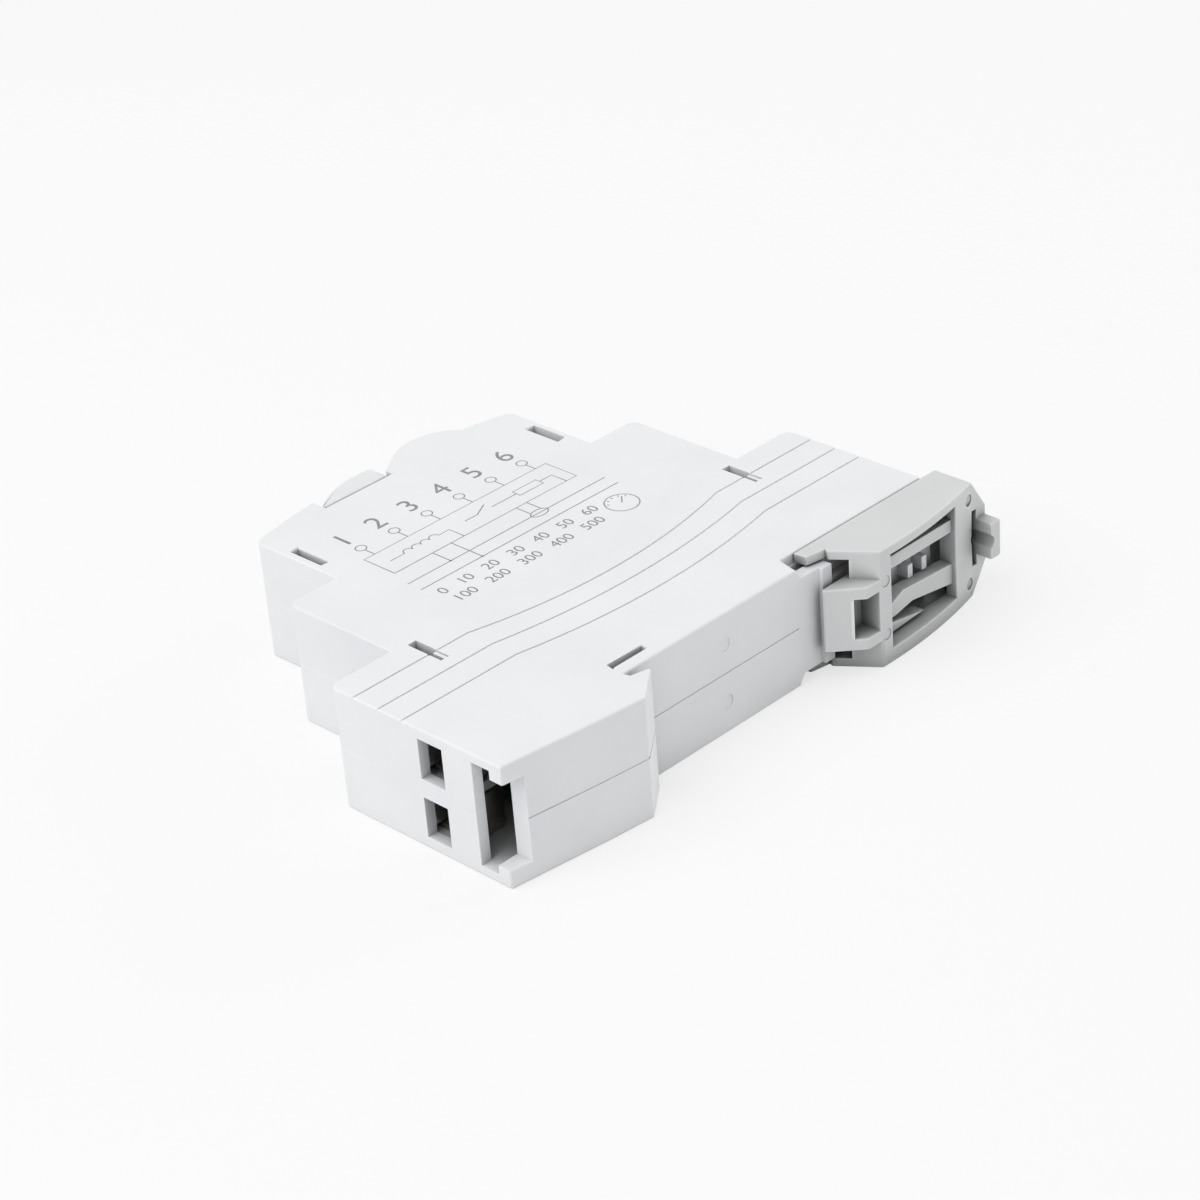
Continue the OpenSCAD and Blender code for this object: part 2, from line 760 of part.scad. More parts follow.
module rail_clip() {
    color(grey_plastic) {
        difference() {
            union() {
                intersection() {
                    linear_extrude(module_w) clip_plan();
                    clip_end_form();
                }
                translate([0, 0, mid_z - tongue_w / 2]) linear_extrude(tongue_w)
                    polygon([[tongue_x, lip_y], [tongue_x, lip_y + tongue_lip], [tongue_top_x, clip_rear_y],
                             [window_x1, clip_rear_y], [window_x1, lip_y]]);
                box([clip_far_x, step_y + 2 * past, mid_z - grip_z],
                    [clip_far_x + loop_t, clip_rear_y, mid_z + grip_z]);
            }
            box([clip_far_wall_x, step_y - past, clip_skin], [0, lip_y, module_w - clip_skin]);
            for (z = [clip_skin, mid_z + tongue_w / 2])
                box([clip_far_wall_x, step_y - past, z],
                    [0, channel_y, z + mid_z - tongue_w / 2 - clip_skin]);
            box([window_x0, step_y, clip_wall], [window_x1, clip_rear_y + past, module_w - clip_skin]);
            box([side_top_x + pocket_wall_far, lip_y + tongue_floor, mid_z - tongue_pocket_w / 2],
                [tongue_top_x + pocket_wall_x, clip_rear_y + past, mid_z + tongue_pocket_w / 2]);
            box([clip_far_x + loop_t, loop_floor_y, loop_z], [clip_end_x, depth, module_w - loop_z]);
            rod(clip_far_x + loop_t + thumb_in, mid_z, loop_floor_y, depth, thumb_r);
            for (s = [-1, 1]) {
                rod(clip_end_x + clip_mark_in, mid_z + s * clip_mark_z[0],
                    clip_rear_y - clip_drop - clip_mark_d, clip_rear_y, clip_mark_r);
                rod(side_top_x - clip_mark_in, mid_z + s * clip_mark_z[1],
                    clip_rear_y - clip_mark_d, clip_rear_y + past, clip_mark_r);
            }
        }
        for (z = [clip_skin - past / 2, module_w - clip_skin - rib_d])
            box([clip_far_wall_x - past / 2, rib_y, z],
                [side_foot_x - past, rib_y + rib_t, z + rib_d + past / 2]);
        clip_bars();
    }
}

module push_key() {
    color(smoke_plastic) {
        front_c = [key_x0 + key_crown_x, nose_y - key_h + key_front_r];
        translate([0, 0, key_side]) linear_extrude(module_w - 2 * key_side) intersection() {
            translate(front_c) circle(key_front_r, $fn = 120);
            translate([key_x0 + key_gap, nose_y - key_h])
                square([key_slot_w - 2 * key_gap, key_back_y - nose_y + key_h]);
        }
        rod(key_mid_x, mid_z, key_back_y - past / 2, key_stem_y1, key_stem_r);
        rod(key_mid_x, mid_z, key_inner_y + key_stop, key_inner_y + key_stop + key_flange_t, key_flange_r);
    }
}

module light_pipe() {
    color(smoke_plastic) {
        rod(pipe_x, mid_z, pipe_front_y, pipe_rear_y, pipe_r);
        rod(pipe_x, mid_z, pipe_inner_y + pipe_flange_back, pipe_inner_y + pipe_flange_back + pipe_flange_t,
            pipe_r + pipe_flange_w);
    }
}

module status_lamp() {
    holder_y = lamp_tip_y + lamp_l;
    color("#d9e4d4") {
        rod(pipe_x, mid_z, lamp_tip_y + lamp_r, holder_y + past / 2, lamp_r);
        translate([pipe_x, lamp_tip_y + lamp_r, mid_z]) sphere(lamp_r);
        box([pipe_x - lamp_base[0] / 2, holder_y, board_top],
            [pipe_x + lamp_base[0] / 2, holder_y + lamp_base[1], mid_z + lamp_base[0] / 2]);
    }
}

module main_board() {
    color(board_green) translate([0, 0, board_z]) linear_extrude(board_t) polygon([
        [board_nose_x, board_front_y], [board_nose_x, board_step_y],
        [board_mid_x, board_step_y], [board_mid_x, board_snap_y],
        [board_end_x, board_snap_y], [board_end_x, board_rear_y],
        [-board_end_x, board_rear_y], [-board_end_x, board_snap_y],
        [board_far_x, board_snap_y], [board_far_x, board_step_y],
        [-board_nose_x, board_step_y], [-board_nose_x, board_front_y]
    ]);
}

module tact_switch() {
    color(dark_part) difference() {
        box([key_mid_x - switch_w / 2, switch_y0, board_top],
            [key_mid_x + switch_w / 2, switch_y0 + switch_l, mid_z + switch_top]);
        rod(key_mid_x, mid_z, switch_y0 - past, switch_y0 + plunger_in + key_travel + switch_room,
            plunger_r + running_fit);
    }
}

module tact_plunger() {
    color("#d8d2c0") rod(key_mid_x, mid_z, plunger_y0, switch_y0 + plunger_in, plunger_r);
}

// A box on the board, from its lower corner
module on_board(place, size) {
    translate([place[0], place[1], board_top]) cube(size);
}

// A round can on the board, from its middle
module can_body(place, r, h) {
    translate([place[0], place[1], board_top]) cylinder(r = r, h = h);
}

// Places on the board, from the nose corners and from the rear wall
function from_nose(in) = [in[0], nose_y + in[1]];
function from_rear(back) = [back[0], step_y - back[1]];

module radio_board() {
    color("#23406b") on_board(from_nose(radio_in), radio_size);
}

module radio_can() {
    color(metal) translate([can_inset, can_inset, radio_size[2]])
        on_board(from_nose(radio_in), can_size);
}

module metering_chip() {
    color(dark_part) on_board(from_nose(meter_in), meter_size);
}

module power_chip() {
    color(dark_part) on_board(from_rear(power_back), power_size);
}

module crystal() {
    color(metal) on_board(from_nose(crystal_in), crystal_size);
}

module bridge_rectifier() {
    color(dark_part) on_board(from_rear(bridge_back), bridge_size);
}

module input_capacitor() {
    color(sleeve) can_body(from_rear(big_cap_back), big_cap_r, big_cap_h);
}

module output_capacitor() {
    color(sleeve) can_body(from_rear(small_cap_back), small_cap_r, small_cap_h);
}

module film_capacitor() {
    color("#d8a531") on_board(from_rear(film_back), film_size);
}

module inductor() {
    place = from_rear(drum_back);
    color("#4a4a4a") {
        can_body(place, drum_r, drum_h);
        for (z = [0, drum_h - flange_t]) translate([0, 0, z]) can_body(place, flange_r, flange_t);
    }
}

module varistor() {
    y1 = step_y - varistor_back[1];
    color("#2f5fa8")
        rod(varistor_back[0], board_top + varistor_r, y1 - varistor_t, y1, varistor_r);
}

module fuse_resistor() {
    place = from_rear(fuse_back);
    color("#8fa58a") translate([place[0], place[1], board_top + fuse_r]) rotate([0, 90, 0])
        cylinder(r = fuse_r, h = fuse_l);
}

// Slotted screw of a rising clamp
module terminal_screw(i) {
    color(metal) at_station(STATIONS[i][0], STATIONS[i][1], STATIONS[i][2]) difference() {
        union() {
            rod(-screw_x, 0, head_y0, head_y1, head_r);
            rod(-screw_x, 0, head_y1 - past, bar_y0 - tip_gap, screw_r);
        }
        box([-screw_x - 2 * head_r, head_y0 - past, -screw_slot_w / 2],
            [-screw_x + 2 * head_r, head_y0 + screw_slot_d, screw_slot_w / 2]);
    }
}

// Clamp cage, drawn open: its top wall takes the screw and its window the bar and the wire
module terminal_cage(i) {
    color(plated_brass) at_station(STATIONS[i][0], STATIONS[i][1], STATIONS[i][2]) difference() {
        box([-screw_x - cage_l / 2, cage_y0, -cage_w / 2], [-screw_x + cage_l / 2, cage_y1, cage_w / 2]);
        box([-screw_x - cage_l, cage_y0 + cage_top, -cage_w / 2 + cage_wall],
            [-screw_x + cage_l, cage_y1 - cage_floor, cage_w / 2 - cage_wall]);
        rod(-screw_x, 0, cage_y0 - past, cage_y0 + cage_top + past, screw_r + running_fit);
    }
}

// Conductor bar from the clamp to the board; the upper one crosses over the lower one's tail
module terminal_bar(i) {
    upper = STATIONS[i][2];
    entry_z = upper == 0 ? wire_z : module_w - wire_z;
    foot_z = board_top - entry_z;
    tail_x = -board_edge - bar_tail;
    leg_x = tail_x - bar_step - bar_leg;
    color(metal) at_station(STATIONS[i][0], STATIONS[i][1], upper) {
        if (upper == 0) {
            box([-board_edge + clamp_gap, bar_y0, -bar_w / 2], [-bar_end, bar_y1, bar_w / 2]);
            box([tail_x, bar_y0, foot_z], [-board_edge + past, bar_y1, bar_w / 2]);
        } else {
            box([leg_x, bar_y0, -bar_w / 2], [-bar_end, bar_y1, bar_w / 2]);
            box([leg_x, bar_y0, foot_z], [leg_x + bar_leg, bar_y1, 0]);
        }
    }
}

housing_lower();
housing_upper();
rail_clip();
push_key();
light_pipe();
status_lamp();
main_board();
tact_switch();
tact_plunger();
radio_board();
radio_can();
metering_chip();
power_chip();
crystal();
bridge_rectifier();
input_capacitor();
output_capacitor();
film_capacitor();
inductor();
varistor();
fuse_resistor();
for (i = [0:5]) {
    terminal_screw(i);
    terminal_cage(i);
    terminal_bar(i);
}
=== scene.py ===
# %% [markdown]
# # A rail-mounted energy monitor, lying on its side
# The CAD frame already holds every piece of the meter at its real size: two half shells, the rail clip,
# the push key, the screw clamps and the sealed electronics. This lesson dresses that frame. Each piece
# gets the finish of its real material, the mouldings get their soft edges, and a studio is set around them.

# %% Load the frame
import json
import math

import bmesh
import bpy
from mathutils import Matrix, Quaternion, Vector
from mathutils.bvhtree import BVHTree

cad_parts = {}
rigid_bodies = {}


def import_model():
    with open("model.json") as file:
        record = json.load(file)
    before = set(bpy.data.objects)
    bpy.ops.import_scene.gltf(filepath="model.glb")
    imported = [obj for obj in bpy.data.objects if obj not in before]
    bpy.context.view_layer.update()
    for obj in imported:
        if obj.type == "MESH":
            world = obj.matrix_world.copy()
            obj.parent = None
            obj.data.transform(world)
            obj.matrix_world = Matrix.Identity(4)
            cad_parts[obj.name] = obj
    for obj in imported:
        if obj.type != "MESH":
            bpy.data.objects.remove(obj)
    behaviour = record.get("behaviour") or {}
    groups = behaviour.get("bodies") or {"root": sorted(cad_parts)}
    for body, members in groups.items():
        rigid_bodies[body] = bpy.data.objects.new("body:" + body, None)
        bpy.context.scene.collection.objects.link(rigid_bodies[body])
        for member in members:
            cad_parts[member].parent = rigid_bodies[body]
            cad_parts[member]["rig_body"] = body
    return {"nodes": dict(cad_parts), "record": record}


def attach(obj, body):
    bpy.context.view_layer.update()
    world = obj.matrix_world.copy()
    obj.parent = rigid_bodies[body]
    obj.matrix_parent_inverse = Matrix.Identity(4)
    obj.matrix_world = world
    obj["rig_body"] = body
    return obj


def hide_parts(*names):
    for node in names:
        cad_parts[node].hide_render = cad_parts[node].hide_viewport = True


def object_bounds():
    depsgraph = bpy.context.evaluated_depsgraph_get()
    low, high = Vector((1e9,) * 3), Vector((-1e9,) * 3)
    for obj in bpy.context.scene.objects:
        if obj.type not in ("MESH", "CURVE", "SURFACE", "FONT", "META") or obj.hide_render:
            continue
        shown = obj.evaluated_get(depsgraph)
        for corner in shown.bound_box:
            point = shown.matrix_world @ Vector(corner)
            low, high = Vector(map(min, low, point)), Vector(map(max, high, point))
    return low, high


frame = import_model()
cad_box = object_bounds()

MM = 0.001
nodes = frame["nodes"]
scene = bpy.context.scene
scene.view_settings.view_transform = "Standard"
print("CAD nodes:", len(nodes), "size in mm:", [round(v / MM, 1) for v in cad_box[1] - cad_box[0]])

# %% [markdown]
# ## Camera
# A long lens from a little above the near corner keeps the box lines almost parallel, as a product
# photographer would. The camera looks at a point inside the housing, and a small roll tilts the picture
# the way the object was photographed.

# %% Camera
CAMERA_PLACE = Vector((261.64, 283.71, 226.95)) * MM
CAMERA_AIM = Vector((-3.448, 5.663, 9.0)) * MM
CAMERA_ROLL = math.radians(-4.71)
LENS_MM = 96.78
SENSOR_MM = 36
NEAREST_SEEN = 10 * MM

camera = bpy.data.objects.new("camera", bpy.data.cameras.new("camera"))
camera.data.lens = LENS_MM
camera.data.sensor_width = SENSOR_MM
camera.data.clip_start = NEAREST_SEEN
camera.location = CAMERA_PLACE
camera.rotation_mode = "QUATERNION"
turn_to_aim = (CAMERA_AIM - CAMERA_PLACE).to_track_quat("-Z", "Y")
camera.rotation_quaternion = turn_to_aim @ Quaternion((0, 0, 1), CAMERA_ROLL)
scene.collection.objects.link(camera)
scene.camera = camera
print("camera to aim in mm:", round((CAMERA_AIM - CAMERA_PLACE).length / MM, 1))

# %% [markdown]
# ## Small helpers for materials
# A colour is written as the hex value that a paint program shows, and one function turns it into the
# linear numbers that a shader needs. A second function adds a node, sets it up and links it, so that each
# material below reads as a short recipe.

# %% Helpers for materials
def linear(hex_code):
    """An sRGB hex value as a linear colour with alpha, by the curve of the sRGB standard."""
    parts = [int(hex_code[i:i + 2], 16) / 255 for i in (1, 3, 5)]
    return [*(c / 12.92 if c <= 0.04045 else ((c + 0.055) / 1.055) ** 2.4 for c in parts), 1]


def add(tree, kind, settings=None, links=None):
    """Adds a node; settings name its sockets, its properties or a ramp's stops, and links its inputs."""
    node = tree.nodes.new("ShaderNode" + kind)
    for name, value in (settings or {}).items():
        if name == "stops":
            for stop, (place, hex_code) in zip(node.color_ramp.elements, value):
                stop.position = place
                stop.color = linear(hex_code)
        elif name in node.inputs:
            node.inputs[name].default_value = value
        else:
            setattr(node, name, value)
    for name, source in (links or {}).items():
        tree.links.new(source, node.inputs[name])
    return node


def start_material(name):
    """An empty material: its tree and the coordinates of the object, in metres."""
    material = bpy.data.materials.new(name)
    material.use_nodes = True
    material.node_tree.nodes.clear()
    return material, material.node_tree, add(material.node_tree, "TexCoord").outputs["Object"]


def end_material(tree, settings, links):
    """The shader and the output that close a recipe."""
    shader = add(tree, "BsdfPrincipled", settings, links)
    add(tree, "OutputMaterial", links={"Surface": shader.outputs["BSDF"]})


print("helpers ready, mid grey is", round(linear("#808080")[0], 3), "in linear light")

# %% [markdown]
# ## Moulded plastics
# The half shells are ABS and the clip is a tougher nylon. Both come out of a steel mould that was spark
# eroded, so the surface carries a fine, even grain that spreads the highlights. The grain is about
# 0.1 mm on the real part; it is drawn at about 0.35 mm, or the picture would lose it. Faint tone patches
# and an uneven gloss keep the flat faces from looking printed. Painted shade darkens the tone in slots
# and corners, where a face is hemmed in, and a painted highlight makes the thin rims paler.

# %% Moulded plastics
PATCH = 14 * MM
PATCH_LOW, PATCH_HIGH = 0.35, 0.65
GLOSS_PATCH = 5 * MM
GLOSS_SPREAD = 0.06
HEMMED_IN = 0.1
HOLLOW_RAYS = 12
RIM = 0.5 * MM
RIM_LOW, RIM_HIGH = 0.4, 0.9
RIM_RAYS = 8


def moulded(name, light, dark, roughness, ior, grain, depth,
            painted_hollow_shade=0.42, reach=16 * MM, in_open=0.5, rim_highlight_gain=1.04):
    """Injection-moulded plastic: tone patches, uneven gloss, spark-eroded grain, painted shade in hollows,
    painted highlight on rims.
    """
    material, tree, place = start_material(name)
    patch = add(tree, "TexNoise", {"Scale": 1 / PATCH, "Detail": 3}, {"Vector": place})
    tone = add(tree, "ValToRGB", {"stops": [(PATCH_LOW, dark), (PATCH_HIGH, light)]},
               {"Fac": patch.outputs["Fac"]})
    # Painted shade: ambient occlusion darkens the tone in slots, corners and other hollows.
    outside = add(tree, "AmbientOcclusion", {"Distance": reach, "samples": HOLLOW_RAYS})
    shade = add(tree, "MapRange",
                {"From Min": HEMMED_IN, "From Max": in_open, "To Min": painted_hollow_shade, "To Max": 1},
                {"Value": outside.outputs["AO"]})
    # Painted highlight: the tone is lifted along thin rims and edges, where an inside occlusion test finds
    # little material.
    inside = add(tree, "AmbientOcclusion", {"Distance": RIM, "samples": RIM_RAYS, "inside": True})
    painted_rim_highlight = add(tree, "MapRange",
               {"From Min": RIM_LOW, "From Max": RIM_HIGH, "To Min": rim_highlight_gain, "To Max": 1},
               {"Value": inside.outputs["AO"]})
    level = add(tree, "Math", {"operation": "MULTIPLY"},
                {0: shade.outputs["Result"], 1: painted_rim_highlight.outputs["Result"]})
    tone_with_painted_light = add(tree, "VectorMath", {"operation": "SCALE"},
               {0: tone.outputs["Color"], "Scale": level.outputs["Value"]})
    cloud = add(tree, "TexNoise", {"Scale": 1 / GLOSS_PATCH, "Detail": 2}, {"Vector": place})
    gloss = add(tree, "MapRange", {"To Min": roughness - GLOSS_SPREAD, "To Max": roughness + GLOSS_SPREAD},
                {"Value": cloud.outputs["Fac"]})
    pits = add(tree, "TexNoise", {"Scale": 1 / grain, "Detail": 2, "Roughness": 0.6}, {"Vector": place})
    relief = add(tree, "Bump", {"Strength": 0.5, "Distance": depth}, {"Height": pits.outputs["Fac"]})
    end_material(tree, {"IOR": ior},
                 {"Base Color": tone_with_painted_light.outputs["Vector"], "Roughness": gloss.outputs["Result"],
                  "Normal": relief.outputs["Normal"]})
    return material


# Eroded ABS gives an even, cool white with broad and soft highlights.
abs_white = moulded("abs_white_spark_eroded", "#E8EAEB", "#E4E6E8",
                    roughness=0.46, ior=1.53, grain=0.35 * MM, depth=0.02 * MM)
# Nylon gives a neutral grey with a little more shine, with painted shade in narrow slots and a painted
# highlight along thin rims.
nylon_grey = moulded("nylon_grey_moulded", "#D3D5D5", "#CED0D0",
                     roughness=0.42, ior=1.53, grain=0.4 * MM, depth=0.015 * MM,
                     painted_hollow_shade=0.1, reach=5 * MM, in_open=0.9, rim_highlight_gain=1.3)
# The nylon of small switches is left in its natural, warm tone.
nylon_ivory = moulded("nylon_ivory_moulded", "#DDD6C2", "#D6CEB8",
                      roughness=0.4, ior=1.53, grain=0.3 * MM, depth=0.01 * MM)
# Filled epoxy is nearly black and matt.
chip_epoxy = moulded("epoxy_black_moulded", "#2D2F32", "#262829",
                     roughness=0.55, ior=1.55, grain=0.15 * MM, depth=0.01 * MM)
print("moulded plastics:", abs_white.name, nylon_grey.name, nylon_ivory.name, chip_epoxy.name)

# %% [markdown]
# ## Clear plastics
# The push key is polycarbonate with a frosted back, so it passes only a part of the light and looks milky.
# The light pipe and the lamp are polished right through. The colour sits on the shader's own socket and
# only the gloss varies.

# %% Clear plastics
GLOSS_SHARE = 0.4


def clear(name, colour, roughness, ior, passes):
    """Clear plastic with slightly uneven gloss that lets a part of the light through."""
    material, tree, place = start_material(name)
    cloud = add(tree, "TexNoise", {"Scale": 1 / GLOSS_PATCH, "Detail": 3}, {"Vector": place})
    gloss = add(tree, "MapRange",
                {"To Min": roughness * (1 - GLOSS_SHARE), "To Max": roughness * (1 + GLOSS_SHARE)},
                {"Value": cloud.outputs["Fac"]})
    end_material(tree, {"Base Color": linear(colour), "IOR": ior, "Transmission Weight": passes},
                 {"Roughness": gloss.outputs["Result"]})
    return material


frosted = clear("polycarbonate_frosted", "#F0F2F3", roughness=0.35, ior=1.585, passes=0.15)
pipe_clear = clear("polycarbonate_clear", "#DCE3E6", roughness=0.12, ior=1.585, passes=1)
lamp_clear = clear("epoxy_lamp_lens", "#DCEBD4", roughness=0.2, ior=1.54, passes=1)
print("clear plastics:", frosted.name, pipe_clear.name, lamp_clear.name)

# %% [markdown]
# ## Metals
# The screws are zinc-plated steel, the clamps nickel-plated brass, and the bars, the shield can and the
# crystal tinned sheet. Plating leaves a slightly cloudy gloss, and drawing or turning leaves fine lines
# along one way, so the noise is stretched along the piece.

# %% Metals
PLATING_CLOUD = 2 * MM
CLOUD_LOW, CLOUD_HIGH = 0.3, 0.7
DULLED, POLISHED = 0.1, 0.08
LINE_DEPTH = 0.006 * MM
ALONG_SCREW = (1, 0.15, 1)
ALONG_SHEET = (0.2, 1, 1)


def plated(name, light, dark, roughness, grain, stretch):
    """Metal with cloudy plating and fine tool lines along one axis."""
    material, tree, place = start_material(name)
    cloud = add(tree, "TexNoise", {"Scale": 1 / PLATING_CLOUD, "Detail": 4}, {"Vector": place})
    tone = add(tree, "ValToRGB", {"stops": [(CLOUD_LOW, dark), (CLOUD_HIGH, light)]},
               {"Fac": cloud.outputs["Fac"]})
    along = add(tree, "Mapping", {"Scale": stretch}, {"Vector": place})
    lines = add(tree, "TexNoise", {"Scale": 1 / grain, "Detail": 2}, {"Vector": along.outputs["Vector"]})
    gloss = add(tree, "MapRange", {"To Min": roughness - POLISHED, "To Max": roughness + DULLED},
                {"Value": lines.outputs["Fac"]})
    relief = add(tree, "Bump", {"Strength": 0.3, "Distance": LINE_DEPTH}, {"Height": lines.outputs["Fac"]})
    end_material(tree, {"Metallic": 1},
                 {"Base Color": tone.outputs["Color"], "Roughness": gloss.outputs["Result"],
                  "Normal": relief.outputs["Normal"]})
    return material


# Zinc is bright and cool, nickel over brass greyer and warmer, and tin has a soft shine.
zinc_steel = plated("steel_zinc_plated", "#CDD0D4", "#B7BBC1",
                    roughness=0.3, grain=0.3 * MM, stretch=ALONG_SCREW)
clamp_nickel = plated("brass_nickel_plated", "#B9B7B0", "#A3A19A",
                      roughness=0.34, grain=0.3 * MM, stretch=ALONG_SHEET)
tin_sheet = plated("sheet_tinned", "#C6C9CC", "#B1B5B9",
                   roughness=0.32, grain=0.4 * MM, stretch=ALONG_SHEET)
print("metals:", zinc_steel.name, clamp_nickel.name, tin_sheet.name)

# %% [markdown]
# ## Boards and coated components
# A circuit board is woven glass under a lacquer, so a fine weave shows through the colour. Capacitors wear
# a shrink sleeve, and the film capacitor, the varistor and the resistor are dipped, which leaves a smooth,
# slightly wavy coat. The inductor's ferrite is sintered and dull. These pieces are sealed in the case, but
# each still has the finish it is sold with.

# %% Boards and coated components
WEAVE = 0.6 * MM
WAVE_RADIANS = 20    # what a wave texture runs through in one unit
THREADS = math.tau / (WAVE_RADIANS * WEAVE)
THREAD_LOW, THREAD_HIGH = 0.1, 0.8
WEAVE_DEPTH = 0.02 * MM
LACQUER_GLOSS = 0.28
COAT_WAVE = 3 * MM
COAT_DEPTH = 0.1 * MM
RESIN_IOR = 1.5


def lacquered(name, light, dark):
    """Woven glass board under a tinted lacquer."""
    material, tree, place = start_material(name)
    warp = add(tree, "TexWave", {"Scale": THREADS, "bands_direction": "X"}, {"Vector": place})
    weft = add(tree, "TexWave", {"Scale": THREADS, "bands_direction": "Y"}, {"Vector": place})
    cloth = add(tree, "Math", {"operation": "MULTIPLY"}, {0: warp.outputs["Fac"], 1: weft.outputs["Fac"]})
    tone = add(tree, "ValToRGB", {"stops": [(THREAD_LOW, dark), (THREAD_HIGH, light)]},
               {"Fac": cloth.outputs["Value"]})
    relief = add(tree, "Bump", {"Strength": 0.4, "Distance": WEAVE_DEPTH},
                 {"Height": cloth.outputs["Value"]})
    end_material(tree, {"Roughness": LACQUER_GLOSS, "IOR": RESIN_IOR},
                 {"Base Color": tone.outputs["Color"], "Normal": relief.outputs["Normal"]})
    return material


def dipped(name, light, dark, roughness):
    """A coat that was dipped or shrunk on, with long soft waves."""
    material, tree, place = start_material(name)
    wave = add(tree, "TexNoise", {"Scale": 1 / COAT_WAVE, "Detail": 2}, {"Vector": place})
    tone = add(tree, "ValToRGB", {"stops": [(CLOUD_LOW, dark), (CLOUD_HIGH, light)]},
               {"Fac": wave.outputs["Fac"]})
    relief = add(tree, "Bump", {"Strength": 0.5, "Distance": COAT_DEPTH}, {"Height": wave.outputs["Fac"]})
    end_material(tree, {"Roughness": roughness, "IOR": RESIN_IOR},
                 {"Base Color": tone.outputs["Color"], "Normal": relief.outputs["Normal"]})
    return material


mask_green = lacquered("board_green_lacquer", "#1F3A2C", "#182E23")
mask_blue = lacquered("board_blue_lacquer", "#2A4A7A", "#203A62")
sleeve_dark = dipped("sleeve_shrunk_dark", "#3A4655", "#2E3946", roughness=0.35)
film_yellow = dipped("film_dipped_yellow", "#DBA93A", "#CF9B2C", roughness=0.3)
ferrite_grey = dipped("ferrite_sintered", "#4A4A4B", "#3D3D3F", roughness=0.7)
varistor_blue = dipped("varistor_dipped_blue", "#3363AA", "#2A5699", roughness=0.32)
resistor_coat = dipped("resistor_dipped_green", "#93A98E", "#859B80", roughness=0.45)
print("boards:", mask_green.name, mask_blue.name)
print("coats:", [m.name for m in (sleeve_dark, film_yellow, ferrite_grey, varistor_blue, resistor_coat)])

# %% [markdown]
# ## A finish for every CAD node
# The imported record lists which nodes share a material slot. Giving each slot its finish once dresses all
# the CAD nodes, and a node that is rebuilt further down takes the same finish from this table, apart from
# the push key, which is frosted.

# %% Finish of each slot
FINISHES = {
    "housing_white": abs_white, "clip_grey": nylon_grey, "clear_smoke": pipe_clear,
    "lamp_lens": lamp_clear, "board_green": mask_green, "board_blue": mask_blue,
    "chip_black": chip_epoxy, "ivory_plastic": nylon_ivory, "tin_plate": tin_sheet,
    "sleeve_dark": sleeve_dark, "film_yellow": film_yellow, "ferrite": ferrite_grey,
    "varistor_blue": varistor_blue, "resistor_coat": resistor_coat, "zinc_steel": zinc_steel,
    "clamp_brass": clamp_nickel,
}
slot_of = {entry["node"]: entry["material_slot"] for entry in frame["record"]["subparts"]}
for node, slot in slot_of.items():
    nodes[node].data.materials.clear()
    nodes[node].data.materials.append(FINISHES[slot])
print("nodes dressed:", len(slot_of), "of", len(nodes))

# %% [markdown]
# ## Soft edges on the mouldings
# No moulding leaves its tool with knife edges: the mould's own corners are rounded by a few tenths of a
# millimetre, and those edges are what catch the light. A CAD node is never changed, so the piece is a copy
# of it. The copy is welded, its flat faces are joined, and its outer edges are bevelled. The edges that stay
# steep are marked sharp, and weighted normals then keep the wide faces flat right up to the bevel.

# %% Helpers for soft edges
SHARP = math.radians(40)
SMOOTH = math.radians(32)
FLAT = math.radians(1)
SHORTEST = 0.38 * MM
WELD = 0.001 * MM
EDGE_STEPS = 2


def finished(name, bm, material):
    """The bmesh as an object in its place, smooth over soft edges, with its finish."""
    bmesh.ops.dissolve_degenerate(bm, dist=WELD, edges=bm.edges)
    bm.normal_update()
    for face in bm.faces:
        face.smooth = True
    for edge in bm.edges:
        edge.smooth = edge.calc_face_angle(math.pi) < SMOOTH
    mesh = bpy.data.meshes.new(name)
    bm.to_mesh(mesh)
    bm.free()
    mesh.materials.append(material)
    piece = bpy.data.objects.new(name, mesh)
    scene.collection.objects.link(piece)
    flat = piece.modifiers.new("flat_faces", "WEIGHTED_NORMAL")
    flat.keep_sharp = True
    return piece


def stand_for(piece, node):
    """Puts a piece in a CAD node's stead, on the node's body, and hides the node."""
    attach(piece, nodes[node]["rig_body"])
    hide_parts(node)
    print(piece.name, "faces:", len(piece.data.polygons))


def welded(node):
    """A CAD node's mesh, welded and with its flat faces joined."""
    bm = bmesh.new()
    bm.from_mesh(nodes[node].data)
    bmesh.ops.remove_doubles(bm, verts=bm.verts, dist=WELD)
    bmesh.ops.dissolve_limit(bm, angle_limit=FLAT, verts=bm.verts, edges=bm.edges)
    return bm


def sharp_edges(bm, shortest):
    """The outward edges that a mould would round."""
    return [e for e in bm.edges
            if e.is_convex and e.calc_face_angle(0) > SHARP and e.calc_length() > shortest]


def rounded(bm, edges, radius, segments=EDGE_STEPS):
    """Bevels the edges with an even round."""
    bmesh.ops.bevel(bm, geom=edges, offset=radius, segments=segments, profile=0.5, affect="EDGES",
                    material=-1, clamp_overlap=False)


def softened(node, radius, shortest=SHORTEST, material=None):
    """A copy of a CAD node with all its outward edges rounded."""
    bm = welded(node)
    rounded(bm, sharp_edges(bm, shortest), radius)
    stand_for(finished(node + "_soft", bm, material or FINISHES[slot_of[node]]), node)


print("edges over", round(math.degrees(SHARP)), "degrees and", round(SHORTEST / MM, 2), "mm get a bevel")

# %% [markdown]
# ## Clip, key and terminals
# These are small, so every outward edge is rounded: most on the key and the light pipe, which a finger
# meets, less on the clip, and least on the metal of the clamps. A round head or rim is made of short facets,
# so on the light pipe and the screws shorter edges count too.

# %% Clip, key and terminals
CLIP_EDGE = 0.2 * MM
KEY_EDGE = 0.4 * MM
METAL_EDGE = 0.12 * MM
SCREW_FACET = 0.2 * MM
PIPE_FACET = 0.1 * MM
TERMINAL_COUNT = 6

